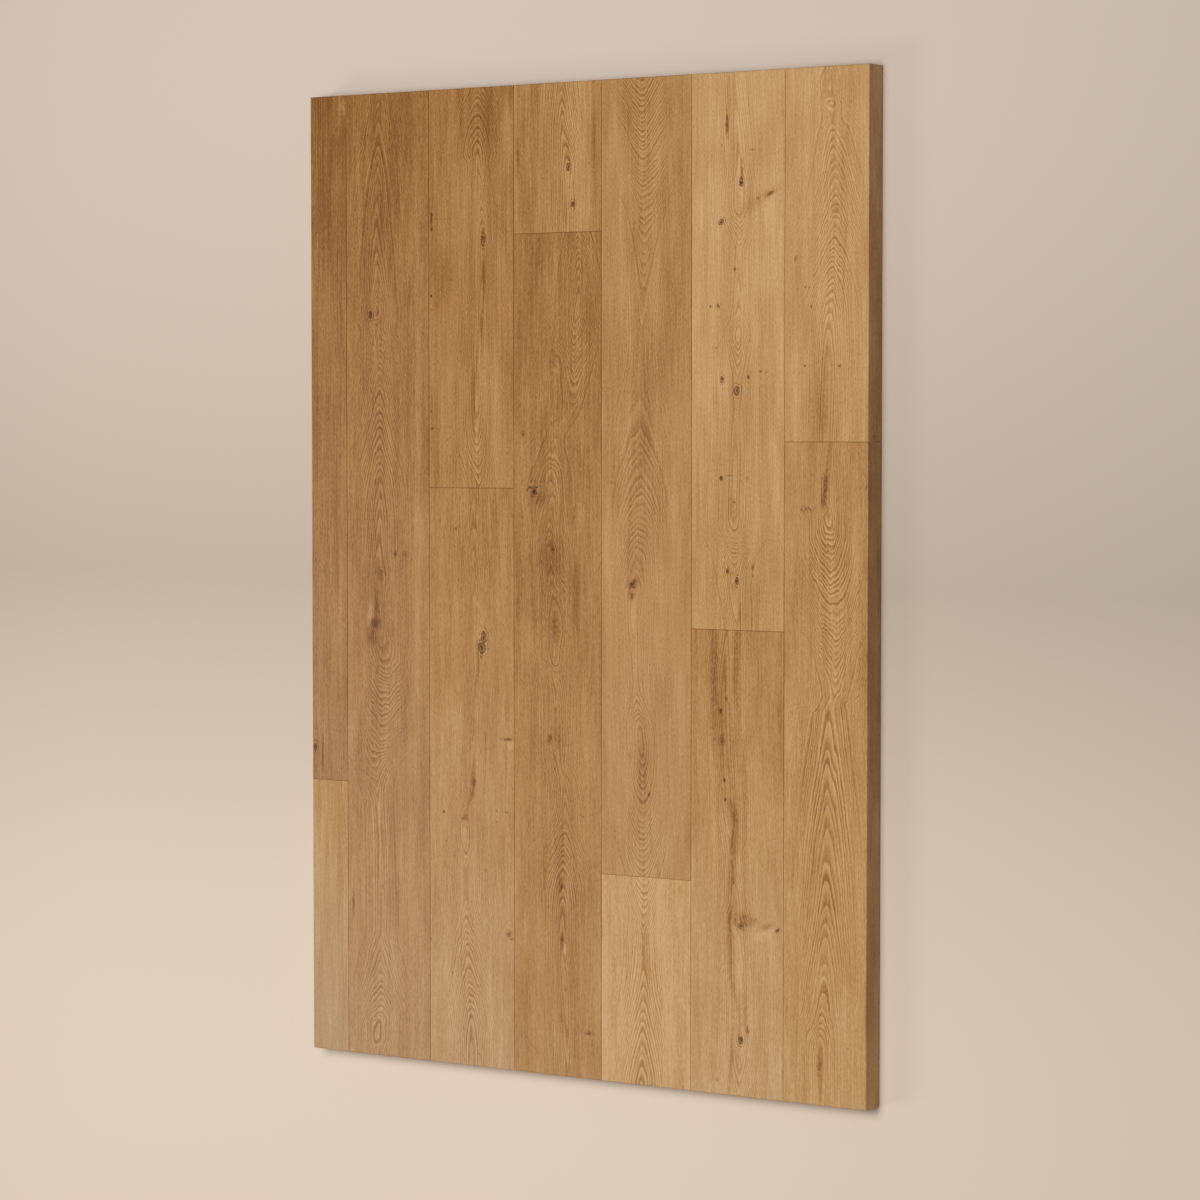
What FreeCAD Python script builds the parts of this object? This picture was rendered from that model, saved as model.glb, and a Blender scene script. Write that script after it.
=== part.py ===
"""A rectangular panel of wide oak floorboards, laid edge to edge in seven courses.

The boards run along Y. Courses are numbered from the left, -X, and the outer two are ripped
narrower, so that the panel has straight sides. Six courses are made of two boards that meet
in a butt joint, at a different place in each, and the second course is one whole board.

Each board is one solid of full thickness. Its four edges are milled by the side they are on:
a tongue towards +X and +Y, a groove towards -X and -Y, and a plain sawn edge where it is part
of the panel's outline. A board is the common part of two extrusions, its section across the
grain and its section along it, so tongues, grooves and eased edges meet in clean mitres.

The frame: Z = 0 is the underside that the panel rests on, and the wearing face is at the top.
X = 0 and Y = 0 are the middle of the panel. All sizes are in millimetres.
"""

import FreeCAD
import Part

import os

# Widths, length and thickness
PLANK_WIDTH = 190.0
WHOLE_COURSES = 5
LEFT_RIP_WIDTH = 84.0
RIGHT_RIP_WIDTH = 166.0
PANEL_LENGTH = 1800.0
THICKNESS = 48.0

# The shorter board of each jointed course, at the panel's foot or head; the other fills up
FOOT_BOARD_1 = 514.0
HEAD_BOARD_3 = 731.0
HEAD_BOARD_4 = 269.0
FOOT_BOARD_5 = 376.0
FOOT_BOARD_6 = 824.0
HEAD_BOARD_7 = 645.0

# Tongue and groove
TONGUE_THICKNESS = 12.0
TONGUE_PROJECTION = 10.0
TONGUE_LEAD_IN = 1.5
WOOD_OVER_TONGUE = 17.0
JOINT_CLEARANCE = 0.15
GLUE_POCKET = 0.8
UNDERSIDE_SETBACK = 0.4

# Eased edges
JOINT_BEVEL = 1.0
OUTLINE_ROUND = 2.0

# Relief kerfs along the underside, which keep a wide board from cupping
KERF_COUNT = 5
KERF_PITCH = 32.0
KERF_WIDTH = 5.0
KERF_DEPTH = 8.0
KERF_EDGE_MARGIN = 12.0

# Heights of the tongue, and of the groove that takes it
TONGUE_TOP = THICKNESS - WOOD_OVER_TONGUE
TONGUE_BOTTOM = TONGUE_TOP - TONGUE_THICKNESS
GROOVE_TOP = TONGUE_TOP + JOINT_CLEARANCE
GROOVE_BOTTOM = TONGUE_BOTTOM - JOINT_CLEARANCE
GROOVE_DEPTH = TONGUE_PROJECTION + GLUE_POCKET

# The panel's outline
PANEL_WIDTH = LEFT_RIP_WIDTH + WHOLE_COURSES * PLANK_WIDTH + RIGHT_RIP_WIDTH
LEFT = -PANEL_WIDTH / 2
FOOT = -PANEL_LENGTH / 2
HEAD = PANEL_LENGTH / 2

# Where the two boards of a course meet, by course number
BUTT_JOINTS = {
    1: FOOT + FOOT_BOARD_1,
    3: HEAD - HEAD_BOARD_3,
    4: HEAD - HEAD_BOARD_4,
    5: FOOT + FOOT_BOARD_5,
    6: FOOT + FOOT_BOARD_6,
    7: HEAD - HEAD_BOARD_7,
}

# The corners of each kind of edge, from the underside up. A corner is how far it stands out
# from the line of the edge, its height, and the radius that rounds it.
SAWN_EDGE = [
    (0, 0, OUTLINE_ROUND),
    (0, THICKNESS, OUTLINE_ROUND),
]
TONGUE_EDGE = [
    (-UNDERSIDE_SETBACK, 0, 0),
    (-UNDERSIDE_SETBACK, TONGUE_BOTTOM, 0),
    (TONGUE_PROJECTION - TONGUE_LEAD_IN, TONGUE_BOTTOM, 0),
    (TONGUE_PROJECTION, TONGUE_BOTTOM + TONGUE_LEAD_IN, 0),
    (TONGUE_PROJECTION, TONGUE_TOP - TONGUE_LEAD_IN, 0),
    (TONGUE_PROJECTION - TONGUE_LEAD_IN, TONGUE_TOP, 0),
    (0, TONGUE_TOP, 0),
    (0, THICKNESS - JOINT_BEVEL, 0),
    (-JOINT_BEVEL, THICKNESS, 0),
]
GROOVE_EDGE = [
    (-UNDERSIDE_SETBACK, 0, 0),
    (-UNDERSIDE_SETBACK, GROOVE_BOTTOM, 0),
    (-GROOVE_DEPTH, GROOVE_BOTTOM, 0),
    (-GROOVE_DEPTH, GROOVE_TOP, 0),
    (0, GROOVE_TOP, 0),
    (0, THICKNESS - JOINT_BEVEL, 0),
    (-JOINT_BEVEL, THICKNESS, 0),
]


def rounded_face(corners):
    """The face inside straight sides, given as (point, radius). Rounded corners are square."""
    ends = []
    for i, (point, radius) in enumerate(corners):
        back = (corners[i - 1][0] - point).normalize() * radius
        on = (corners[(i + 1) % len(corners)][0] - point).normalize() * radius
        ends.append((point + back, point + back + on, point + on))
    edges = []
    for i, (arrive, centre, leave) in enumerate(ends):
        point, radius = corners[i]
        if radius:
            middle = centre + (point - centre).normalize() * radius
            edges.append(Part.Arc(arrive, middle, leave).toShape())
        edges.append(Part.makeLine(leave, ends[(i + 1) % len(ends)][0]))
    return Part.Face(Part.Wire(edges))


def section(place, low, low_edge, high, high_edge, kerfs=()):
    """The face of a board's section. place turns an offset and a height into a point."""
    corners = [(low - out, height, radius) for out, height, radius in reversed(low_edge)]
    for x in kerfs:
        corners.append((x - KERF_WIDTH / 2, 0, 0))
        corners.append((x - KERF_WIDTH / 2, KERF_DEPTH, 0))
        corners.append((x + KERF_WIDTH / 2, KERF_DEPTH, 0))
        corners.append((x + KERF_WIDTH / 2, 0, 0))
    corners += [(high + out, height, radius) for out, height, radius in high_edge]
    return rounded_face([(place(offset, height), radius) for offset, height, radius in corners])


def kerf_places(low, high, middle):
    """Where a board from low to high has kerfs, with middle that of the board as milled."""
    first = middle - (KERF_COUNT - 1) / 2 * KERF_PITCH
    clear = KERF_EDGE_MARGIN + KERF_WIDTH / 2
    places = [first + i * KERF_PITCH for i in range(KERF_COUNT)]
    return [x for x in places if low + clear <= x <= high - clear]


def board(course, foot, foot_edge, head, head_edge):
    """The solid of one board of a course, from foot to head."""
    left, left_edge, right, right_edge, middle = course
    reach = TONGUE_PROJECTION
    across = section(
        lambda x, z: FreeCAD.Vector(x, foot - reach, z),
        left, left_edge, right, right_edge, kerf_places(left, right, middle),
    )
    along = section(
        lambda y, z: FreeCAD.Vector(left - reach, y, z),
        foot, foot_edge, head, head_edge,
    )
    lengthwise = across.extrude(FreeCAD.Vector(0, head - foot + 2 * reach, 0))
    crosswise = along.extrude(FreeCAD.Vector(right - left + 2 * reach, 0, 0))
    return lengthwise.common(crosswise).Solids[0]


def courses():
    """Each course's left side and edge, right side and edge, and middle as milled."""
    right = LEFT + LEFT_RIP_WIDTH
    rows = [(LEFT, SAWN_EDGE, right, TONGUE_EDGE, right - PLANK_WIDTH / 2)]
    for _ in range(WHOLE_COURSES):
        left, right = right, right + PLANK_WIDTH
        rows.append((left, GROOVE_EDGE, right, TONGUE_EDGE, left + PLANK_WIDTH / 2))
    left, right = right, right + RIGHT_RIP_WIDTH
    rows.append((left, GROOVE_EDGE, right, SAWN_EDGE, left + PLANK_WIDTH / 2))
    return rows


def planks():
    """Every board of the panel, by name."""
    made = {}
    for number, course in enumerate(courses(), start=1):
        joint = BUTT_JOINTS.get(number)
        if joint is None:
            made[f"plank_{number}"] = board(course, FOOT, SAWN_EDGE, HEAD, SAWN_EDGE)
        else:
            made[f"plank_{number}_lower"] = board(course, FOOT, SAWN_EDGE, joint, TONGUE_EDGE)
            made[f"plank_{number}_upper"] = board(course, joint, GROOVE_EDGE, HEAD, SAWN_EDGE)
    return made


os.makedirs("parts", exist_ok=True)
for name, solid in planks().items():
    solid.exportStep(f"parts/{name}.step")
    print(name, "valid" if solid.isValid() else "NOT VALID", f"{solid.Volume / 1e6:.3f} litres")
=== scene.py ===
"""The finish and the studio of a panel of wide oak floorboards.

The boards keep their own solids, and each gets an oak of its own. The figure is worked out in
the solid, as a log has it: growth rings lie round a heart line that runs along the board above
its face, and where the heart comes nearer to the face or goes deeper, the face cuts arches out
of them. Knots, pin knots and mineral streaks are placed one by one, by their place in the
photograph, and bend the rings round themselves.

Sizes of the wood are in millimetres. The frame is in metres.
"""

import math
from collections import namedtuple

import bpy
from bpy.props import FloatProperty, FloatVectorProperty, PointerProperty
from mathutils import Matrix, Vector


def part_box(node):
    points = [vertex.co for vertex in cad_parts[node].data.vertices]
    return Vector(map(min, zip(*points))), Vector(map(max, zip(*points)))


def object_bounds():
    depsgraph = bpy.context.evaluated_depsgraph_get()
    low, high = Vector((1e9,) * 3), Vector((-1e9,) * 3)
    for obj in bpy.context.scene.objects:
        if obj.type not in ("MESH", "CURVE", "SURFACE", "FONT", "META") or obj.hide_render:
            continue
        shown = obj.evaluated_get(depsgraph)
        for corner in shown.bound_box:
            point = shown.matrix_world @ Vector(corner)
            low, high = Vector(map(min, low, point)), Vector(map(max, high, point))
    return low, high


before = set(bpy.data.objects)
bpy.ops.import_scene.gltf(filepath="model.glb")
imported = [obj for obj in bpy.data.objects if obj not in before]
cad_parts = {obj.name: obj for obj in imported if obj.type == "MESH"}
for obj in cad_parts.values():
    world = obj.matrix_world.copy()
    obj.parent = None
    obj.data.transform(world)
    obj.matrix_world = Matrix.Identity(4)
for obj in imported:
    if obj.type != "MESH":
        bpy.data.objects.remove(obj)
CAD_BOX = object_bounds()

bl_info = {
    "name": "Oak floor panel",
    "version": (1, 0, 0),
    "blender": (4, 5, 0),
    "location": "View3D > Sidebar > Floor panel",
    "description": "Finishes a panel of wide oak floorboards and sets up its studio",
    "category": "Material",
}

MM = 0.001
FACE_HEIGHT = CAD_BOX[1].z

# The camera that took the photograph, in the panel's frame
PHOTO_WIDTH = 1200
LENS_IN_PIXELS = 3700
SENSOR_WIDTH_MM = 36
CAMERA_PLACE = Vector((3.681, 0.282, 5.612))
CAMERA_YAW = math.radians(33.12)
CAMERA_PITCH = math.radians(2.69)

FORWARD = Vector((
    -math.sin(CAMERA_YAW) * math.cos(CAMERA_PITCH),
    -math.sin(CAMERA_PITCH),
    -math.cos(CAMERA_YAW) * math.cos(CAMERA_PITCH),
))
RIGHT = Vector((math.cos(CAMERA_YAW), 0, -math.sin(CAMERA_YAW)))
UP = RIGHT.cross(FORWARD)

# Sizes of the wood's patterns, in millimetres across, along and into a board. Fibres are hair
# lines along the grain, streaks the broad bands between them, flecks the cut ends of rays,
# clouds soft changes of tone, and speckle what breaks up a knot. Pores are short dashes, drawn
# a little coarser than the real 0.3 mm so that they show. Patches make the edges' lines, a
# painted highlight at the left and an oil-darkened line at the right, come and go.
FIBRE_SIZE = (2.7, 85, 2.7)
STREAK_SIZE = (15, 520, 15)
FLECK_SIZE = (2.0, 6.0, 2.0)
CLOUD_SIZE = (44, 210, 44)
SPECKLE_SIZE = (2.6, 6.0, 2.6)
PORE_SIZE = (0.9, 9, 0.9)
EDGE_PATCH_SIZE = (40, 70, 40)

# From which level of its noise a pore begins to open, and from which it is open
PORE_BEGINS = 0.56
PORE_OPEN = 0.70

# How widely the ring count drifts, in rings, and the points of arches sway, in millimetres,
# and the sizes over which they do. The short sway is as wide as the board's own wave.
DRIFT = 1.6
DRIFT_SIZE = (22, 260, 22)
LONG_SWAY = 34.0
LONG_SWAY_SIZE = (34, 190, 34)
SHORT_SWAY_SIZE = (10, 60, 10)

# Rings show fully within the first distance of the heart line, in millimetres, and only as
# much as FAINT beyond the second
BOLD_WITHIN = 24
FAINT_BEYOND = 64
FAINT = 0.22

# How much the rings differ in width, how fast they do from one to the next, and how strongly
# the faintest one shows
UNEVEN = 1.3
UNEVEN_PER_RING = 0.38
FAINTEST_RING = 0.25

# Where in a ring the earlywood is full, begins to fade and is gone, as shares of its width, and
# how full it is where a ring is neither darker nor paler than its board
EARLYWOOD_FULL = 0.10
EARLYWOOD_FADES = 0.16
EARLYWOOD_GONE = 0.95
EARLYWOOD_EVEN = 0.36

# Where a mark's core, the tan round it and the grain that it bends end, and where they are
# full, in half sizes of the mark from its middle
CORE_END = 1.1
CORE_FULL = 0.55
HALO_END = 2.3
HALO_FULL = 0.2
BEND_END = 4.5
BEND_FULL = 0.5

# How ragged a mark's outline is, in half sizes, and how many bumps it has to a millimetre
RAGGED = 1.1
RAGGED_PER_MM = 0.16

# A mark as dark and as wide as this, in millimetres, is a knot that growth lines run round.
# The lines go from pale to brown and back by this many radians in a half size of the knot.
RIMMED_DARK = 0.6
RIMMED_WIDTH = 6.5
RIM_TURN = 8.5

# Where the painted highlight along a board's left side and the oil-darkened line along its
# right side end and are full, in millimetres from the side. On a board with a tongue the right
# line lies on the tongue, out of sight.
EDGE_END = 3.2
EDGE_FULL = 0.5

# The upward part of a bevel's normal
BEVEL_SLOPE = math.cos(math.radians(45))

# How much darker tan round a mark and end grain make the wood, and the bevels' painted
# highlight, below zero, and painted shade, which they get by the way they face
TAN_DEPTH = 0.9
END_GRAIN_DEPTH = 0.22
PAINTED_BEVEL_HIGHLIGHT = -0.1
PAINTED_BEVEL_SHADE = 0.28

# The floor's painted light and shade run this far towards the foot and the head, in metres,
# and its painted shade deepens from a place at the left, where it has this shade, to one at
# the right. The even backdrop begins and takes over at these distances from the middle.
FLOOR_REACH = 1.3
FLOOR_LEFT = -1.2
FLOOR_RIGHT = 1.3
FLOOR_LEFT_SHADE = 1.01
BACKDROP_BEGINS = 2.0
BACKDROP_FULL = 4.0

# The least and most that the curves of a heart line can give: the heart's place from the
# board's middle, in millimetres, then what a station says
SPANS = {
    "Heart": (-300, 300),
    "Run out": (0, 60),
    "Ring width": (0, 12),
    "Blunt": (0, 12),
    "Bold": (0, 2),
}

# One station of a heart line: the photo's row and column, how many rings have run out at the
# face by then, how wide a ring is, in millimetres, how round an arch's point is, in rings, and
# how strongly the rings show. Where rings falls towards the foot the arches point to the head,
# and where it rises they point to the foot.
Station = namedtuple("Station", "row column rings width blunt bold")

# A knot, pin knot, check or streak, by the photo's column and row. Width and length are in
# millimetres. dark blackens its core, brown tans its surroundings or, below zero, bleaches them,
# flow bends the grain round it and lean turns it clockwise from the board's length, in degrees.
Mark = namedtuple("Mark", "column row width length dark brown flow lean", defaults=(0, 0))

# A board: tone runs from 0, straw, to 1, chestnut; tone_change is added towards its foot;
# wave is how far, in millimetres, the points of its arches zigzag, and the last field how much a
# painted sheen, a pale grey veil, dulls the board at its foot, less and less towards its head
Board = namedtuple("Board", "node tone tone_change wave heart marks bloom", defaults=(0,))

BOARDS = [
    Board("plank_1_upper", 0.84, -0.25, 8, [
        Station(97, 300, 20, 3.6, 2, 0.7),
        Station(420, 298, 17, 3.4, 2, 0.7),
        Station(777, 304, 20, 3.6, 2, 0.7),
    ], [
        Mark(344, 107, 14, 20, 0.0, -0.30),
        Mark(330, 150, 60, 60, 0.0, 0.08),
        Mark(330, 290, 60, 130, 0.0, -0.12),
        Mark(315.5, 747, 8, 16, 0.8, 0.4, 0.5),
        Mark(323, 751, 4, 56, 0.25, 0.35),
        Mark(341, 520, 10, 460, 0.0, -0.10),
    ], bloom=0.1),
    Board("plank_1_lower", 0.30, 0.0, 8, [
        Station(777, 362, 8, 3.8, 2, 0.7),
        Station(900, 366, 9, 3.6, 2, 0.7),
        Station(1050, 362, 8, 3.8, 2, 0.7),
    ], [
        Mark(320, 800, 8, 120, 0.0, 0.16),
        Mark(340, 900, 10, 220, 0.0, 0.10),
    ], bloom=0.22),
    Board("plank_2", 0.76, -0.34, 9, [
        Station(97, 378, 40, 3.8, 2, 0.45),
        Station(132, 378, 37, 3.8, 2, 0.5),
        Station(170, 378, 34, 4.8, 1.6, 0.5),
        Station(245, 377, 30.5, 4.8, 1.6, 0.5),
        Station(296, 378, 27.5, 3.8, 2, 0.5),
        Station(314, 377, 24.6, 3.6, 2, 0.6),
        Station(331, 378, 27.5, 3.8, 2, 0.5),
        Station(345, 380, 26, 3.8, 3, 0.55),
        Station(370, 379, 22, 4.0, 3, 0.55),
        Station(386, 379, 20, 4.2, 2.2, 0.62),
        Station(440, 379, 13.5, 4.6, 2, 0.64),
        Station(494, 380, 7.5, 4.4, 2, 0.58),
        Station(560, 379, 5, 4.0, 2, 0.45),
        Station(620, 379, 3, 3.4, 2, 0.4),
        Station(645, 384, 4, 3.8, 6, 0.4),
        Station(690, 386, 12, 4.2, 10, 0.62),
        Station(735, 382, 21, 4.2, 9, 0.68),
        Station(765, 375, 26, 4.0, 4, 0.7),
        Station(810, 379, 30, 4.2, 2, 0.5),
        Station(925, 381, 30, 4.2, 2, 0.5),
        Station(957, 381, 28, 4.6, 3.5, 0.7),
        Station(1007, 381, 21.5, 4.6, 3.5, 0.85),
        Station(1033, 378, 18, 4.2, 3, 0.85),
        Station(1050, 378, 20, 4.2, 3, 0.8),
    ], [
        Mark(370.5, 314.8, 9, 15, 0.9, 0.5, 0.6),
        Mark(378.5, 314.5, 16, 34, 0.0, 0.12, 0.3),
        Mark(377.8, 310, 8, 26, 0.0, -0.25),
        Mark(376, 482.5, 5, 9, 0.35, 0.2, 0.4),
        Mark(395.3, 554, 7, 9, 0.75, 0.3, 0.4),
        Mark(405, 555, 9, 12, 0.1, 0.25),
        Mark(378.6, 560, 3.5, 10, 0.25, 0.2),
        Mark(381.6, 573, 12, 24, 0.12, 0.25, 0.7),
        Mark(377, 607, 9, 38, 0.15, 0.3),
        Mark(375, 623.5, 20, 16, 0.42, 0.4, 0.3),
        Mark(370.5, 613, 9, 30, 0.0, -0.25),
        Mark(371, 637, 17, 24, 0.12, 0.3),
        Mark(353.5, 903, 4, 52, 0.5, 0.2),
        Mark(380, 835, 5, 170, 0.0, -0.25),
        Mark(383, 886, 5, 9, 0.35, 0.2, 0.5),
        Mark(398, 900, 5, 110, 0.05, 0.2),
        Mark(416, 560, 16, 520, 0.0, -0.10),
    ], bloom=0.12),
    Board("plank_3_upper", 0.67, -0.15, 11, [
        Station(90, 477, 23, 3.8, 4, 0.62),
        Station(150, 477, 14, 3.8, 4, 0.62),
        Station(165, 478, 13, 3.2, 2, 0.5),
        Station(230, 483, 8, 2.8, 1.5, 0.5),
        Station(250, 483.5, 7, 2.8, 2, 0.35),
        Station(330, 480, 6.5, 3.4, 2, 0.3),
        Station(430, 476, 8, 3.4, 3, 0.5),
        Station(487, 477.5, 15, 3.4, 2.5, 0.65),
    ], [
        Mark(476.5, 108, 56, 110, 0.0, 0.16),
        Mark(483, 231, 6, 14, 0.4, 0.4, 0.5),
        Mark(483, 241, 8, 18, 0.6, 0.5, 0.6),
        Mark(483.8, 275, 5, 90, 0.05, 0.26),
        Mark(481.3, 325, 6, 34, 0.16, 0.26),
        Mark(477, 360, 5, 84, 0.06, 0.26, 0.0, 5),
        Mark(473.5, 400, 6, 100, 0.04, 0.24),
        Mark(431.4, 214.6, 5, 6, 1.0, 0.2),
        Mark(431.2, 221, 3.4, 26, 1.0, 0.2),
        Mark(431.4, 229.5, 4.5, 5, 1.0, 0.2),
        Mark(431.3, 296, 4.5, 5, 1.0, 0.2),
        Mark(430.9, 411.6, 3, 5, 0.7, 0.2),
        Mark(432.4, 428.4, 9, 3, 0.75, 0.2),
        Mark(445, 218.8, 36, 1.6, 0.25, 0.1),
        Mark(495, 430, 14, 160, 0.0, -0.22),
        Mark(438, 470, 20, 60, 0.0, 0.10),
    ]),
    Board("plank_3_lower", 0.56, -0.31, 18, [
        Station(485, 474, 26, 3.8, 2, 0.35),
        Station(560, 474, 23, 3.8, 2, 0.4),
        Station(600, 475, 21, 3.4, 2, 0.45),
        Station(640, 482, 19, 3.2, 2, 0.5),
        Station(720, 475, 19.5, 3.6, 2, 0.4),
        Station(790, 472, 18.5, 3.2, 2, 0.4),
        Station(812, 466, 19, 3.0, 2, 0.5),
        Station(834, 465, 17, 3.0, 2.5, 0.6),
        Station(862, 466, 20, 3.4, 2.5, 0.6),
        Station(884, 466, 20.5, 3.8, 2, 0.65),
        Station(959, 469, 13, 3.8, 2.5, 0.75),
        Station(1058, 472, 4, 3.6, 3, 0.7),
        Station(1066, 472, 4, 3.6, 3, 0.7),
    ], [
        Mark(456, 528.5, 6, 6, 0.3, 0.2),
        Mark(475, 527, 5, 8, 0.3, 0.2),
        Mark(483.6, 637.5, 12, 22, 0.6, 0.5, 0.5),
        Mark(482.2, 648, 13, 20, 0.7, 0.45, 0.5),
        Mark(478.5, 669, 7, 62, 0.1, 0.28, 0.0, 6),
        Mark(461.6, 634.7, 2.6, 4, 0.7, 0.1),
        Mark(453.5, 659.6, 2.6, 3.5, 0.6, 0.1),
        Mark(463.9, 665.7, 2.6, 3.5, 0.6, 0.1),
        Mark(472, 722, 12, 150, 0.0, 0.10),
        Mark(474, 782, 8, 14, 0.1, 0.3, 0.5),
        Mark(472.5, 794, 10, 11, 0.1, 0.24),
        Mark(466, 816, 9, 14, 0.1, 0.15, 0.7),
        Mark(507.5, 739.4, 17, 5, 0.6, 0.4, 0.3),
        Mark(510.5, 746, 8, 12, 0.0, -0.26),
        Mark(506, 765, 3.5, 60, 0.1, 0.3),
        Mark(507, 712, 5, 90, 0.0, 0.3),
        Mark(444, 811.6, 4.5, 5, 0.85, 0.3),
        Mark(496.8, 811, 3, 4, 0.6, 0.2),
        Mark(506.7, 812.3, 8, 2.6, 0.6, 0.2),
        Mark(496.8, 822, 3, 3, 0.65, 0.1),
        Mark(446, 840.5, 3, 3.5, 0.5, 0.1),
        Mark(453.4, 855.7, 3, 4.5, 0.45, 0.1),
        Mark(485.7, 870.3, 3.6, 6, 0.5, 0.1),
        Mark(509, 934.5, 11, 12, 0.45, 0.4, 0.3),
        Mark(511, 939, 5, 4, 0.6, 0.2),
        Mark(431.2, 938.9, 3.5, 4, 0.85, 0.2),
        Mark(452.9, 972.3, 3, 3.5, 0.75, 0.1),
        Mark(450, 1054, 3, 3.5, 0.5, 0.1),
        Mark(479, 1054, 3, 3.5, 0.5, 0.1),
    ], bloom=0.1),
    Board("plank_4_upper", 0.50, 0.0, 16, [
        Station(86, 562, 12, 4.0, 2, 0.7),
        Station(125, 563, 9, 3.6, 2, 0.7),
        Station(170, 567, 6, 3.4, 2, 0.6),
        Station(231, 566, 6, 3.6, 2, 0.6),
    ], [
        Mark(530, 160, 50, 420, 0.0, 0.16),
        Mark(576, 140, 40, 420, 0.0, -0.16),
        Mark(594, 118, 7, 240, 0.0, 0.26),
        Mark(568.4, 167, 9, 15, 0.75, 0.5, 0.5),
        Mark(567.6, 150, 4, 50, 0.0, 0.24),
        Mark(572.9, 204, 8, 11, 0.9, 0.45, 0.5),
        Mark(566, 214, 4, 50, 0.05, 0.3),
        Mark(518, 157, 4, 42, 0.25, 0.3),
    ]),
    Board("plank_4_lower", 0.71, -0.27, 20, [
        Station(231, 578, 30, 3.0, 2, 0.7),
        Station(281, 579, 22, 2.9, 2, 0.7),
        Station(312, 578, 21, 3.0, 3, 0.5),
        Station(321, 577, 22, 3.2, 5, 0.55),
        Station(395, 573, 33, 3.3, 6, 0.6),
        Station(412, 570, 34, 3.8, 4, 0.3),
        Station(435, 556, 34, 4.0, 4, 0.3),
        Station(449, 553, 33, 4.0, 4, 0.55),
        Station(474, 551, 29, 4.0, 4, 0.6),
        Station(500, 550, 27, 4.0, 3, 0.45),
        Station(560, 551, 22, 3.8, 2, 0.5),
        Station(628, 556, 17, 3.4, 2, 0.5),
        Station(655, 555, 17, 3.2, 2.5, 0.55),
        Station(682, 556, 21, 3.2, 2.5, 0.55),
        Station(740, 556, 23, 3.6, 2, 0.5),
        Station(800, 565, 22, 4.0, 2, 0.6),
        Station(843, 564, 17, 4.0, 2.5, 0.65),
        Station(893, 562, 10, 3.8, 3, 0.7),
        Station(940, 562, 8, 3.4, 2, 0.5),
        Station(1000, 566, 7, 3.6, 2, 0.4),
        Station(1085, 568, 9, 3.6, 2, 0.45),
    ], [
        Mark(555, 360, 14, 18, 0.12, 0.2, 0.8),
        Mark(520, 405, 5, 7, 0.2, 0.2),
        Mark(522.4, 434, 7, 9, 0.3, 0.3, 0.3),
        Mark(538, 498, 26, 18, 0.0, 0.22, 0.4),
        Mark(535.8, 492, 8, 11, 1.0, 0.5, 0.7, -20),
        Mark(533.6, 487.4, 14, 5, 0.75, 0.3),
        Mark(531, 489.5, 4, 8, 0.6, 0.2),
        Mark(531.9, 481, 4.5, 5, 0.6, 0.2),
        Mark(535.2, 481.2, 3.5, 5, 0.45, 0.2),
        Mark(553, 549, 8, 8, 0.7, 0.45, 0.6),
        Mark(550, 556, 34, 50, 0.0, 0.12),
        Mark(541.8, 561.2, 3.5, 3.5, 0.7, 0.2),
        Mark(545, 610, 110, 170, 0.0, 0.13),
        Mark(528, 640, 30, 60, 0.0, -0.14),
        Mark(556, 627, 12, 26, 0.12, 0.2, 0.7),
        Mark(549.6, 738, 8, 15, 0.5, 0.4, 0.3),
        Mark(557, 736, 13, 26, 0.0, 0.12, 0.6),
        Mark(561, 886, 7, 18, 0.16, 0.3, 0.3),
        Mark(561.8, 939.5, 6, 12, 0.28, 0.36, 0.3),
        Mark(564.7, 949, 5, 15, 0.0, -0.45),
        Mark(565.9, 990, 4.5, 7, 0.4, 0.2),
        Mark(583, 817, 6, 4, 0.35, 0.1),
        Mark(574, 985, 14, 220, 0.0, 0.09),
        Mark(588.4, 1033.4, 14, 6, 0.45, 0.4, 0.3),
    ], bloom=0.04),
    Board("plank_5_upper", 0.50, -0.07, 9, [
        Station(76, 641, 2, 3.5, 9, 0.65),
        Station(150, 644, 17, 3.5, 9, 0.68),
        Station(213, 645.5, 29, 3.4, 6, 0.55),
        Station(250, 645, 33, 3.6, 3, 0.38),
        Station(335, 642, 38, 4.2, 2, 0.4),
        Station(385, 641, 38.5, 4.6, 7, 0.3),
        Station(421, 640, 37, 5.0, 9, 0.36),
        Station(455, 640, 34, 5.0, 9, 0.45),
        Station(500, 640, 29, 4.6, 7, 0.55),
        Station(575, 637, 19, 3.8, 4, 0.55),
        Station(610, 633, 17, 3.4, 2, 0.4),
        Station(680, 636, 18, 3.6, 2, 0.45),
        Station(705, 638, 16, 3.6, 2.5, 0.5),
        Station(742, 640.5, 12, 3.2, 3, 0.45),
        Station(765, 642, 14, 3.2, 4, 0.5),
        Station(790, 642, 17, 3.2, 6, 0.6),
        Station(864, 642, 29, 3.2, 8, 0.7),
        Station(875, 642, 31, 3.2, 8, 0.7),
    ], [
        Mark(638, 556, 34, 84, 0.0, 0.22),
        Mark(632.6, 585, 16, 11, 0.55, 0.45, 0.5),
        Mark(631.5, 596, 10, 14, 0.5, 0.2, 0.3),
        Mark(642, 766, 20, 90, 0.0, 0.28),
        Mark(649, 795, 5, 8, 0.45, 0.3, 0.3),
        Mark(630, 756, 9, 9, 0.05, 0.18),
        Mark(615, 831, 3, 3.5, 0.5, 0.1),
        Mark(612, 590, 20, 320, 0.0, -0.04),
        Mark(640, 402, 14, 70, 0.0, -0.14),
        Mark(645, 405, 120, 300, 0.0, 0.13),
        Mark(676, 200, 26, 420, 0.0, 0.10),
    ], bloom=0.06),
    Board("plank_5_lower", 0.14, 0.0, 10, [
        Station(875, 644, 3, 3.4, 6, 0.7),
        Station(917, 644, 9.5, 3.4, 5, 0.7),
        Station(940, 643.5, 11, 3.8, 2, 0.5),
        Station(949, 643.5, 11, 4.4, 2, 0.7),
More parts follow.
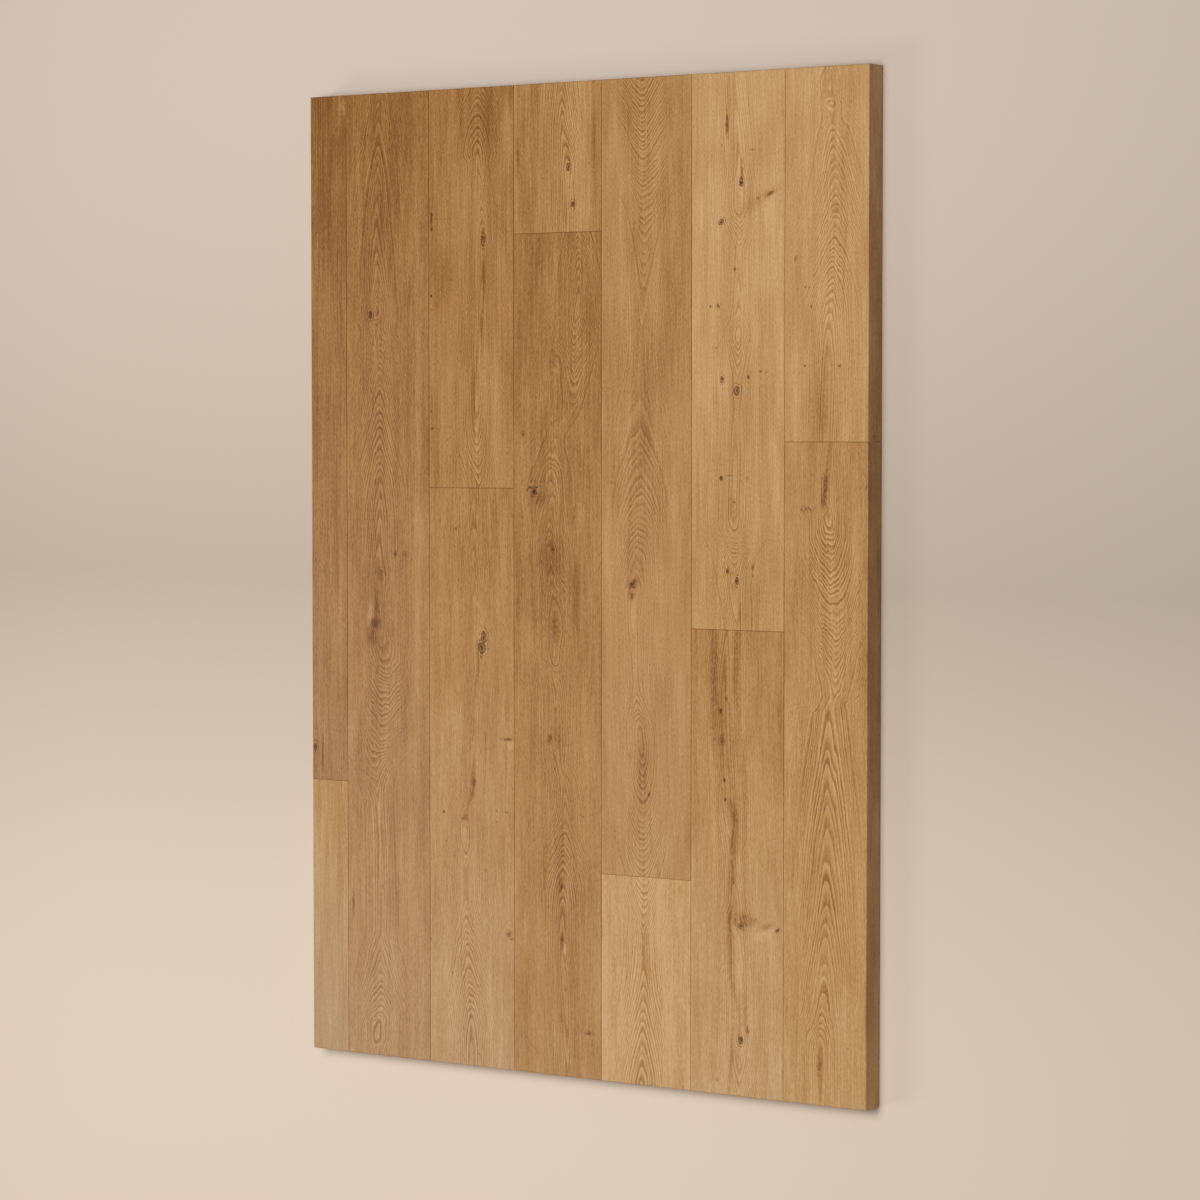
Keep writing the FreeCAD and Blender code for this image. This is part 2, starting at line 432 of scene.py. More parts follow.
        Station(1082, 642, 1.5, 4.6, 2.2, 0.8),
        Station(1090, 641, 1, 4.0, 2, 0.7),
    ], [
        Mark(680, 890, 10, 14, 0.05, 0.2),
        Mark(644, 955, 12, 60, 0.0, 0.16),
    ]),
    Board("plank_6_upper", 0.26, 0.10, 12, [
        Station(70, 733, 14, 4.0, 2, 0.4),
        Station(160, 739, 12, 3.4, 2, 0.45),
        Station(195, 739, 11.5, 3.2, 5, 0.45),
        Station(234, 739, 16.5, 3.2, 5, 0.45),
        Station(250, 739, 18, 3.4, 2, 0.4),
        Station(300, 738, 17, 3.4, 2, 0.4),
        Station(316, 738, 16, 3.2, 3, 0.5),
        Station(334, 738, 13, 3.0, 3, 0.5),
        Station(350, 738, 15, 3.2, 3, 0.5),
        Station(400, 737, 18, 3.6, 2, 0.4),
        Station(480, 735, 17, 3.6, 2, 0.4),
        Station(510, 734.5, 17, 3.2, 3, 0.6),
        Station(575, 734, 28, 3.2, 3.5, 0.7),
        Station(627, 738, 30, 3.4, 2, 0.5),
    ], [
        Mark(727, 123.5, 6, 38, 0.62, 0.4, 0.4),
        Mark(741.2, 182, 8, 18, 0.88, 0.55, 0.5),
        Mark(742, 168, 4, 28, 0.2, 0.4),
        Mark(770, 193.4, 16, 7, 0.55, 0.45, 0.3, -22),
        Mark(759.5, 197.6, 7, 4, 0.4, 0.3),
        Mark(758, 200, 70, 14, 0.0, 0.2, 0.0, -30),
        Mark(770, 155, 44, 70, 0.0, 0.14),
        Mark(721, 222.4, 13, 9, 0.6, 0.45, 0.4, -40),
        Mark(714.5, 223, 3, 3, 0.4, 0.1),
        Mark(734.7, 269.3, 5, 6, 0.75, 0.3),
        Mark(718.4, 306, 8, 6, 0.7, 0.4, 0.4),
        Mark(710.7, 306.5, 6, 5, 0.75, 0.35),
        Mark(716.5, 348, 5, 3.5, 0.4, 0.2),
        Mark(722, 379.5, 7, 11, 0.8, 0.45, 0.3),
        Mark(748, 377, 5, 7, 0.7, 0.3, 0.2),
        Mark(760.5, 371.5, 4.5, 4, 0.65, 0.2),
        Mark(766, 372, 4, 4, 0.6, 0.2),
        Mark(736.8, 390.8, 12, 16, 0.7, 0.42, 0.4),
        Mark(752, 149.5, 14, 2.6, 0.35, 0.1),
        Mark(721, 478.2, 7, 9, 0.8, 0.35, 0.4),
        Mark(730, 475.6, 18, 2.6, 0.35, 0.2),
        Mark(747, 478.6, 4, 6, 0.4, 0.2),
        Mark(734, 502, 4, 4.4, 0.85, 0.3),
        Mark(733, 508, 12, 34, 0.05, 0.24),
        Mark(727.6, 571, 7, 9, 0.75, 0.35, 0.4),
        Mark(737, 581, 7, 13, 0.8, 0.45, 0.4),
        Mark(752.6, 567.5, 5, 8, 0.45, 0.3),
        Mark(753, 576, 4, 5, 0.45, 0.2),
        Mark(740, 614, 2.6, 40, 0.5, 0.3),
        Mark(757, 606, 14, 70, 0.0, 0.22),
    ]),
    Board("plank_6_lower", 0.51, -0.33, 12, [
        Station(627, 727, 6, 3.4, 2, 0.5),
        Station(700, 724, 4, 3.4, 2, 0.4),
        Station(800, 728, 4, 3.8, 2, 0.4),
        Station(860, 732, 6, 4.0, 2, 0.4),
        Station(920, 736, 4, 3.6, 2, 0.4),
        Station(1040, 740, 3, 3.6, 2, 0.45),
        Station(1100, 738, 7, 3.6, 2, 0.5),
    ], [
        Mark(714, 668, 12, 190, 0.0, 0.34),
        Mark(737, 655, 13, 150, 0.0, 0.32),
        Mark(725, 655, 6, 110, 0.0, 0.12),
        Mark(723, 735, 26, 190, 0.0, 0.16),
        Mark(728, 830, 30, 420, 0.0, 0.07),
        Mark(726.5, 698.7, 5, 9, 0.3, 0.3, 0.3),
        Mark(720.6, 710.8, 5, 10, 0.8, 0.4, 0.4),
        Mark(721.6, 740, 7, 11, 0.75, 0.4, 0.5),
        Mark(724.5, 780, 4.5, 9, 0.7, 0.3, 0.3),
        Mark(725.3, 799.7, 4, 5, 0.7, 0.3),
        Mark(731.5, 808, 10, 40, 0.08, 0.28, 0.0, -22),
        Mark(734.5, 836, 13, 80, 0.0, 0.30, 0.0, 3),
        Mark(730.6, 885, 10, 120, 0.0, 0.24, 0.0, 3),
        Mark(730, 945, 8, 100, 0.08, 0.24, 0.0, -2),
        Mark(734.5, 993, 7, 60, 0.08, 0.26, 0.0, -12),
        Mark(744.6, 850, 8, 260, 0.0, 0.26),
        Mark(740.6, 926.2, 13, 10, 0.65, 0.45, 0.5),
        Mark(745, 920, 44, 16, 0.04, 0.32, 0.3),
        Mark(764, 926.5, 22, 8, 0.1, 0.3, 0.0, -20),
        Mark(775.8, 930.6, 10, 7, 0.75, 0.45, 0.0, -15),
        Mark(762, 936, 34, 12, 0.0, -0.14, 0.0, -18),
        Mark(747.5, 1031, 7, 12, 0.4, 0.45, 0.3),
        Mark(740.8, 1040.4, 11, 14, 0.85, 0.5, 0.7),
        Mark(731.5, 1058, 6, 76, 0.08, 0.3, 0.0, 4),
        Mark(745, 1012, 7, 60, 0.0, 0.25),
        Mark(717.5, 1080, 4, 5, 0.6, 0.2),
    ], bloom=0.05),
    Board("plank_7_upper", 0.32, 0.06, 16, [
        Station(64, 830, 36, 3.6, 3, 0.6),
        Station(80, 830, 33, 3.4, 3, 0.5),
        Station(88, 830, 32.4, 3.0, 3, 0.5),
        Station(97, 830, 33, 3.0, 3, 0.5),
        Station(104.5, 830.6, 31.5, 3.0, 3, 0.5),
        Station(118, 832, 33, 3.4, 3, 0.45),
        Station(135, 834, 31, 3.8, 3, 0.6),
        Station(190, 836, 25, 4.0, 3, 0.7),
        Station(233, 835, 19, 4.0, 3, 0.75),
        Station(298, 831, 8, 3.8, 3, 0.65),
        Station(340, 829, 5, 3.6, 3, 0.45),
        Station(381, 828, 3.5, 3.4, 2, 0.45),
        Station(438, 826, 4, 3.6, 2, 0.35),
    ], [
        Mark(830, 104, 10, 14, 0.0, -0.20, 0.7),
        Mark(837, 208, 9, 12, 0.15, 0.2, 0.5),
        Mark(795.9, 258.5, 6, 8, 0.2, 0.3, 0.3),
        Mark(805.4, 287, 4, 4, 0.95, 0.2),
        Mark(809.8, 287.6, 2.6, 2.6, 0.6, 0.1),
        Mark(811.5, 306.5, 4, 4, 0.75, 0.2),
        Mark(805, 365.7, 5, 4.4, 0.8, 0.2),
        Mark(839.7, 365.7, 5, 5, 0.8, 0.3),
        Mark(848.4, 369, 2.6, 2.6, 0.5, 0.1),
        Mark(819, 408, 26, 110, 0.0, 0.24),
    ]),
    Board("plank_7_lower", 0.52, -0.27, 17, [
        Station(438, 829, 4, 3.6, 2, 0.35),
        Station(500, 825, 4, 3.4, 2, 0.35),
        Station(519, 828, 4.5, 3.2, 2.5, 0.5),
        Station(545, 829, 8, 3.4, 6, 0.8),
        Station(612, 834, 20, 3.7, 8, 0.85),
        Station(650, 835.5, 26, 3.4, 3.5, 0.8),
        Station(692, 836, 31, 3.4, 3, 0.7),
        Station(705, 831, 32, 3.6, 4, 0.7),
        Station(713, 829, 31.8, 4.4, 4.4, 0.85),
        Station(829, 828, 26.6, 4.6, 4.4, 0.95),
        Station(909, 827, 23.2, 4.4, 4.2, 0.85),
        Station(971, 825, 20, 4.2, 4.2, 0.8),
        Station(1010, 823, 17.5, 3.8, 4.2, 0.7),
        Station(1060, 820, 12.5, 3.2, 4, 0.5),
        Station(1112, 820, 12.5, 3.4, 3, 0.4),
    ], [
        Mark(829, 455, 7, 64, 0.05, 0.26, 0.0, 4),
        Mark(825.4, 486, 9, 42, 0.55, 0.4, 0.3),
        Mark(823.4, 501, 7, 24, 0.2, 0.35),
        Mark(808, 509.5, 26, 7, 0.05, 0.24, 0.5),
        Mark(819.2, 1065.7, 6, 14, 0.1, 0.22, 0.5),
        Mark(819.2, 1066, 12, 60, 0.0, 0.10),
        Mark(848, 1049, 8, 2.4, 0.3, 0.1),
        Mark(790.4, 712, 2.6, 4, 0.5, 0.1),
        Mark(862, 700, 12, 500, 0.0, 0.10),
        Mark(826, 880, 60, 200, 0.0, 0.09),
    ]),
]


def linear(hex_colour):
    """The scene-linear colour, with alpha, of an sRGB hex value."""
    channels = [int(hex_colour[i:i + 2], 16) / 255 for i in (1, 3, 5)]
    return [c / 12.92 if c <= 0.04045 else ((c + 0.055) / 1.055) ** 2.4 for c in channels] + [1]


def on_face(column, row):
    """The point of the wearing face, in millimetres, that the photo shows at a pixel."""
    across = (column - PHOTO_WIDTH / 2) / LENS_IN_PIXELS
    down = (row - PHOTO_WIDTH / 2) / LENS_IN_PIXELS
    ray = FORWARD + RIGHT * across - UP * down
    point = CAMERA_PLACE + ray * ((FACE_HEIGHT - CAMERA_PLACE.z) / ray.z)
    return point.x / MM, point.y / MM


def add(tree, kind, links=None, **settings):
    """Adds a node with its settings, feeds its sockets, and returns its first output."""
    node = tree.nodes.new(kind)
    for name, value in settings.items():
        setattr(node, name, value)
    for socket, value in (links or {}).items():
        if isinstance(value, bpy.types.NodeSocket):
            tree.links.new(value, node.inputs[socket])
        else:
            node.inputs[socket].default_value = value
    return node.outputs[0] if node.outputs else node


def new_group(name, inputs, outputs):
    """A shader group with sockets given as name and type, and its input and output nodes."""
    tree = bpy.data.node_groups.new(name, "ShaderNodeTree")
    for socket, kind in inputs:
        tree.interface.new_socket(socket, in_out="INPUT", socket_type="NodeSocket" + kind)
    for socket, kind in outputs:
        tree.interface.new_socket(socket, in_out="OUTPUT", socket_type="NodeSocket" + kind)
    return tree, tree.nodes.new("NodeGroupInput").outputs, tree.nodes.new("NodeGroupOutput").inputs


# The nodes used most. Their sockets are given by name or by number. A Map Range reads from 1 to
# 2 and gives 3 to 4, and all four are 0 or 1 unless they are set. A Mix of colours has them at 6
# and 7, and gives its own at 2.
MATH = "ShaderNodeMath"
VECTOR = "ShaderNodeVectorMath"
NOISE = "ShaderNodeTexNoise"
RANGE = "ShaderNodeMapRange"
GROUP = "ShaderNodeGroup"
AXES = "ShaderNodeSeparateXYZ"
SMOOTH = {"interpolation_type": "SMOOTHSTEP"}


def mark_group():
    """One knot or streak. It bends the grain's place round itself and adds to dark and brown."""
    tree, given, made = new_group(
        "Knot or streak",
        [("Place", "Vector"), ("Wobble", "Vector"), ("Dark", "Float"), ("Brown", "Float"),
         ("Centre", "Vector"), ("One over size", "Vector"), ("Lean", "Float"),
         ("Core", "Float"), ("Halo", "Float"), ("Flow", "Float")],
        [("Place", "Vector"), ("Dark", "Float"), ("Brown", "Float"), ("Reach", "Float")],
    )
    away = add(tree, VECTOR, {0: given["Place"], 1: given["Centre"]}, operation="SUBTRACT")
    turned = add(
        tree, "ShaderNodeVectorRotate", {"Vector": away, "Angle": given["Lean"]},
        rotation_type="Z_AXIS",
    )
    scaled = add(tree, VECTOR, {0: turned, 1: given["One over size"]}, operation="MULTIPLY")
    ragged = add(tree, VECTOR, {0: scaled, 1: given["Wobble"]}, operation="ADD")
    reach = add(tree, VECTOR, {0: ragged}, operation="LENGTH").node.outputs["Value"]
    tree.links.new(reach, made["Reach"])

    core = add(tree, RANGE, {"Value": reach, 1: CORE_END, 2: CORE_FULL}, **SMOOTH)
    darker = add(tree, MATH, {0: core, 1: given["Core"]}, operation="MULTIPLY")
    tree.links.new(
        add(tree, MATH, {0: darker, 1: given["Dark"]}, operation="MAXIMUM"), made["Dark"],
    )
    halo = add(tree, RANGE, {"Value": reach, 1: HALO_END, 2: HALO_FULL}, **SMOOTH)
    tree.links.new(
        add(tree, MATH, {0: halo, 1: given["Halo"], 2: given["Brown"]}, operation="MULTIPLY_ADD"),
        made["Brown"],
    )

    bend = add(tree, RANGE, {"Value": reach, 1: BEND_END, 2: BEND_FULL}, **SMOOTH)
    pull = add(tree, MATH, {0: bend, 1: given["Flow"]}, operation="MULTIPLY")
    sideways = add(tree, VECTOR, {0: away, 1: (-1, 0, 0)}, operation="MULTIPLY")
    shift = add(tree, VECTOR, {0: sideways, 3: pull}, operation="SCALE")
    tree.links.new(add(tree, VECTOR, {0: given["Place"], 1: shift}, operation="ADD"), made["Place"])
    return tree


def rim_group():
    """The growth lines that close round a knot, first a pale rim and then a brown line."""
    tree, given, made = new_group(
        "Rim of a knot",
        [("Reach", "Float"), ("Brown", "Float"), ("Strength", "Float")],
        [("Brown", "Float")],
    )
    fade = add(tree, RANGE, {"Value": given["Reach"], 1: HALO_END, 2: HALO_FULL}, **SMOOTH)
    turn = add(tree, MATH, {0: given["Reach"], 1: RIM_TURN}, operation="MULTIPLY")
    lines = add(tree, MATH, {0: turn}, operation="SINE")
    shown = add(tree, MATH, {0: fade, 1: given["Strength"]}, operation="MULTIPLY")
    tree.links.new(
        add(tree, MATH, {0: lines, 1: shown, 2: given["Brown"]}, operation="MULTIPLY_ADD"),
        made["Brown"],
    )
    return tree


def sway_group():
    """How far along the board a place lies, swayed so that the points of arches zigzag.

    Only the points of arches show it. Their sides run along the board and stay smooth.
    """
    tree, given, made = new_group(
        "Sway", [("Place", "Vector"), ("Wave", "Float"), ("Seed", "Vector")], [("Along", "Float")],
    )
    along = add(tree, AXES, {0: given["Place"]}).node.outputs["Y"]
    seeded = add(tree, VECTOR, {0: given["Place"], 1: given["Seed"]}, operation="ADD")
    for size, reach in ((LONG_SWAY_SIZE, LONG_SWAY), (SHORT_SWAY_SIZE, given["Wave"])):
        scaled = add(tree, VECTOR, {0: seeded, 1: size}, operation="DIVIDE")
        noise = add(tree, NOISE, {"Vector": scaled, "Scale": 1, "Detail": 1})
        centred = add(tree, MATH, {0: noise, 1: 0.5}, operation="SUBTRACT")
        along = add(tree, MATH, {0: centred, 1: reach, 2: along}, operation="MULTIPLY_ADD")
    tree.links.new(along, made["Along"])
    return tree


def figure_group():
    """How many growth rings a place lies from the heart, unevenly as wood grows.

    Near says how strongly they show: fully close to the heart, and less towards the edges.
    """
    tree, given, made = new_group(
        "Growth rings",
        [("Place", "Vector"), ("Heart", "Float"), ("Run out", "Float"),
         ("Ring width", "Float"), ("Blunt", "Float"), ("Bold", "Float"), ("Seed", "Vector")],
        [("Rings", "Float"), ("Near", "Float")],
    )
    axes = add(tree, AXES, {0: given["Place"]}).node.outputs
    from_heart = add(tree, MATH, {0: axes["X"], 1: given["Heart"]}, operation="SUBTRACT")
    aside = add(tree, MATH, {0: from_heart}, operation="ABSOLUTE")
    near = add(tree, RANGE, {
        "Value": aside, 1: BOLD_WITHIN, 2: FAINT_BEYOND, 3: 1.0, 4: FAINT,
    })
    tree.links.new(add(tree, MATH, {0: near, 1: given["Bold"]}, operation="MULTIPLY"), made["Near"])

    # Rings lie round an axis above the face, so that arches have round points
    across = add(tree, MATH, {0: from_heart, 1: given["Ring width"]}, operation="DIVIDE")
    below = add(tree, MATH, {0: axes["Z"], 1: given["Ring width"]}, operation="DIVIDE")
    both = add(tree, "ShaderNodeCombineXYZ", {0: across, 1: given["Blunt"]})
    from_axis = add(tree, VECTOR, {0: both}, operation="LENGTH").node.outputs["Value"]
    outwards = add(tree, MATH, {0: from_axis, 1: given["Blunt"]}, operation="SUBTRACT")
    at_face = add(tree, MATH, {0: outwards, 1: given["Run out"]}, operation="ADD")
    even = add(tree, MATH, {0: at_face, 1: below}, operation="SUBTRACT")

    seeded = add(tree, VECTOR, {0: given["Place"], 1: given["Seed"]}, operation="ADD")
    scaled = add(tree, VECTOR, {0: seeded, 1: DRIFT_SIZE}, operation="DIVIDE")
    noise = add(tree, NOISE, {"Vector": scaled, "Scale": 1, "Detail": 1})
    centred = add(tree, MATH, {0: noise, 1: 0.5}, operation="SUBTRACT")
    tree.links.new(
        add(tree, MATH, {0: centred, 1: DRIFT, 2: even}, operation="MULTIPLY_ADD"), made["Rings"],
    )
    return tree


def grain_group():
    """What the eye sees of the rings, fibres and pores. More of each is darker."""
    tree, given, made = new_group(
        "Oak grain",
        [("Place", "Vector"), ("Rings", "Float"), ("Near", "Float"), ("Seed", "Vector")],
        [("Line", "Float"), ("Fibre", "Float"), ("Streak", "Float"), ("Fleck", "Float"),
         ("Cloud", "Float"), ("Speckle", "Float"), ("Pore", "Float")],
    )
    seeded = add(tree, VECTOR, {0: given["Place"], 1: given["Seed"]}, operation="ADD")

    # Rings are unevenly wide, so the count is stretched and squeezed along itself
    slow = add(
        tree, NOISE, {"W": given["Rings"], "Scale": UNEVEN_PER_RING, "Detail": 1},
        noise_dimensions="1D",
    )
    uneven = add(tree, MATH, {0: slow, 1: UNEVEN, 2: given["Rings"]}, operation="MULTIPLY_ADD")
    phase = add(tree, MATH, {0: uneven}, operation="FRACT")
    number = add(tree, MATH, {0: uneven}, operation="FLOOR")
    chance = add(tree, "ShaderNodeTexWhiteNoise", {"W": number}, noise_dimensions="1D")
    strength = add(tree, RANGE, {"Value": chance, 3: FAINTEST_RING, 4: 1.0})

    # Earlywood starts sharply and fades into latewood
    onset = add(tree, RANGE, {"Value": phase, 1: 0.0, 2: EARLYWOOD_FULL}, **SMOOTH)
    fade = add(tree, RANGE, {"Value": phase, 1: EARLYWOOD_GONE, 2: EARLYWOOD_FADES}, **SMOOTH)
    band = add(tree, MATH, {0: onset, 1: fade}, operation="MULTIPLY")
    level = add(tree, MATH, {0: band, 1: EARLYWOOD_EVEN}, operation="SUBTRACT")
    uneven_line = add(tree, MATH, {0: level, 1: strength}, operation="MULTIPLY")
    line = add(tree, MATH, {0: uneven_line, 1: given["Near"]}, operation="MULTIPLY")
    tree.links.new(line, made["Line"])

    for name, size, detail in (
        ("Fibre", FIBRE_SIZE, 2),
        ("Streak", STREAK_SIZE, 2),
        ("Fleck", FLECK_SIZE, 1),
        ("Cloud", CLOUD_SIZE, 2),
        ("Speckle", SPECKLE_SIZE, 2),
    ):
        scaled = add(tree, VECTOR, {0: seeded, 1: size}, operation="DIVIDE")
        noise = add(tree, NOISE, {"Vector": scaled, "Scale": 1, "Detail": detail, "Roughness": 0.6})
        tree.links.new(noise, made[name])

    # Pores lie thickest in the earlywood
    scaled = add(tree, VECTOR, {0: seeded, 1: PORE_SIZE}, operation="DIVIDE")
    dash = add(tree, NOISE, {"Vector": scaled, "Scale": 1, "Detail": 1})
    opened = add(tree, RANGE, {"Value": dash, 1: PORE_BEGINS, 2: PORE_OPEN}, **SMOOTH)
    in_earlywood = add(tree, RANGE, {"Value": band, 3: 0.35, 4: 1.0})
    tree.links.new(
        add(tree, MATH, {0: opened, 1: in_earlywood}, operation="MULTIPLY"), made["Pore"],
    )
    return tree


def colour_group(finish):
    """Oiled oak's colour by depth of tone, from straw through honey and chestnut to umber."""
    tree, given, made = new_group(
        "Oak colour", [("Tone", "Float"), ("Bloom", "Float"), ("Dark", "Float")],
        [("Color", "Color")],
    )
    by_tone = add(tree, "ShaderNodeValToRGB", {0: given["Tone"]})
    ramp = by_tone.node.color_ramp
    ramp.elements[0].color = (*finish.pale, 1)
    ramp.elements[1].color = (*finish.umber, 1)
    for tone, colour in ((0.25, finish.straw), (0.5, finish.honey), (0.75, finish.chestnut)):
        ramp.elements.new(tone).color = (*colour, 1)
    # A painted sheen: the colour is mixed towards a pale grey veil by the share it is given
    painted_sheen_colour = add(
        tree, "ShaderNodeMix", {0: given["Bloom"], 6: by_tone, 7: (*finish.bloom, 1)},
        data_type="RGBA",
    ).node.outputs[2]
    cored = add(
        tree, "ShaderNodeMix", {0: given["Dark"], 6: painted_sheen_colour, 7: (*finish.knot, 1)},
        data_type="RGBA",
    ).node.outputs[2]
    tree.links.new(cored, made["Color"])
    return tree


def set_curve(node, points):
    """Draws a float curve through points from 0 to 1, level beyond its ends."""
    points = sorted(points)
    curve = node.mapping.curves[0]
    curve.points[0].location = points[0]
    curve.points[1].location = points[-1]
    for point in points[1:-1]:
        curve.points.new(*point)
    for point in curve.points:
        point.handle_type = "AUTO_CLAMPED"
    node.mapping.extend = "HORIZONTAL"
    node.mapping.update()


def lay_marks(tree, groups, board, middle, place, seeded):
    """Lays a board's marks over one another. Gives the bent place, and how dark and brown it is."""
    ragged = add(tree, NOISE, {"Vector": seeded, "Scale": RAGGED_PER_MM, "Detail": 2})
    centred = add(
        tree, VECTOR, {0: ragged.node.outputs["Color"], 1: (0.5, 0.5, 0.5)}, operation="SUBTRACT",
    )
    wobble = add(tree, VECTOR, {0: centred, 1: (RAGGED, RAGGED, 0)}, operation="MULTIPLY")

    state = {"Place": place, "Dark": 0.0, "Brown": 0.0}
    for mark in board.marks:
        x, y = on_face(mark.column, mark.row)
        node = add(
            tree, GROUP,
            {
                **state,
                "Wobble": wobble,
                "Centre": (x - middle, y, 0),
                "One over size": (2 / mark.width, 2 / mark.length, 0),
                "Lean": math.radians(mark.lean),
                "Core": mark.dark,
                "Halo": mark.brown,
                "Flow": mark.flow,
            },
            node_tree=groups["mark"],
        ).node
        state = {name: node.outputs[name] for name in state}
        if mark.dark >= RIMMED_DARK and mark.width >= RIMMED_WIDTH:
            state["Brown"] = add(
                tree, GROUP,
                {"Reach": node.outputs["Reach"], "Brown": state["Brown"], "Strength": mark.dark},
                node_tree=groups["rim"],
            )
    return state


def count_rings(tree, groups, board, middle, foot, head, place, seed):
    """Counts the rings from the heart at a place, by curves through the board's stations."""
    along = add(
        tree, GROUP, {"Place": place, "Wave": board.wave, "Seed": seed}, node_tree=groups["sway"],
    )
    course = add(tree, RANGE, {"Value": along, 1: foot, 2: head})
    points = {name: [] for name in SPANS}
    for station in board.heart:
        x, y = on_face(station.column, station.row)
        values = (x - middle, station.rings, station.width, station.blunt, station.bold)
        for (name, (least, most)), value in zip(SPANS.items(), values):
            points[name].append(((y - foot) / (head - foot), (value - least) / (most - least)))
    figure = {}
    for name, (least, most) in SPANS.items():
        curve = add(tree, "ShaderNodeFloatCurve", {"Value": course})
        set_curve(curve.node, points[name])
        figure[name] = add(tree, RANGE, {"Value": curve, 3: least, 4: most})
    return add(
        tree, GROUP, {"Place": place, "Seed": seed, **figure}, node_tree=groups["figure"],
    ).node.outputs


def tone_edges(tree, finish, tone, across, seeded, half):
    """The tone with a painted highlight along a board's left side and oil darkening at its right.

    It shows more here and less there.
    """
    slow = add(tree, VECTOR, {0: seeded, 1: EDGE_PATCH_SIZE}, operation="DIVIDE")
    patchy = add(tree, NOISE, {"Vector": slow, "Scale": 1, "Detail": 2})
    edge_patches = add(tree, RANGE, {"Value": patchy, 1: 0.35, 2: 0.65, 3: 0.2, 4: 1.0})
    # The line at the left is a painted highlight, the one at the right oil darkening the joint
    for end, full, depth in (
        (EDGE_END - half, EDGE_FULL - half, -finish.edge_depth),
        (half - EDGE_END, half - EDGE_FULL, finish.edge_depth),
    ):
        line = add(tree, RANGE, {"Value": across, 1: end, 2: full})
        shown = add(tree, MATH, {0: line, 1: edge_patches}, operation="MULTIPLY")
        tone = add(tree, MATH, {0: shown, 1: depth, 2: tone}, operation="MULTIPLY_ADD")
    return tone


def tone_bevels(tree, tone, normal, end_grain):
    """The tone with painted shade and highlight on the bevels of a joint, and the oil that end
    grain drinks.

    Bevels that face right or towards the head get painted shade, those that face left or
    towards the foot a painted highlight.
    """
    tilt = add(tree, MATH, {0: normal["Z"], 1: BEVEL_SLOPE}, operation="SUBTRACT")
    off_bevel = add(tree, MATH, {0: tilt}, operation="ABSOLUTE")
    bevel = add(tree, RANGE, {"Value": off_bevel, 1: 0.06, 2: 0.02})
    # Painted highlight on bevels facing left or the foot, painted shade on those facing right or
    # the head
    away = add(tree, MATH, {0: normal["X"], 1: normal["Y"]}, operation="ADD")
    shaded = add(tree, RANGE, {
        "Value": away, 1: -0.3, 2: 0.3, 3: PAINTED_BEVEL_HIGHLIGHT, 4: PAINTED_BEVEL_SHADE,
    })
    tone = add(tree, MATH, {0: bevel, 1: shaded, 2: tone}, operation="MULTIPLY_ADD")
    return add(tree, MATH, {0: end_grain, 1: END_GRAIN_DEPTH, 2: tone}, operation="MULTIPLY_ADD")


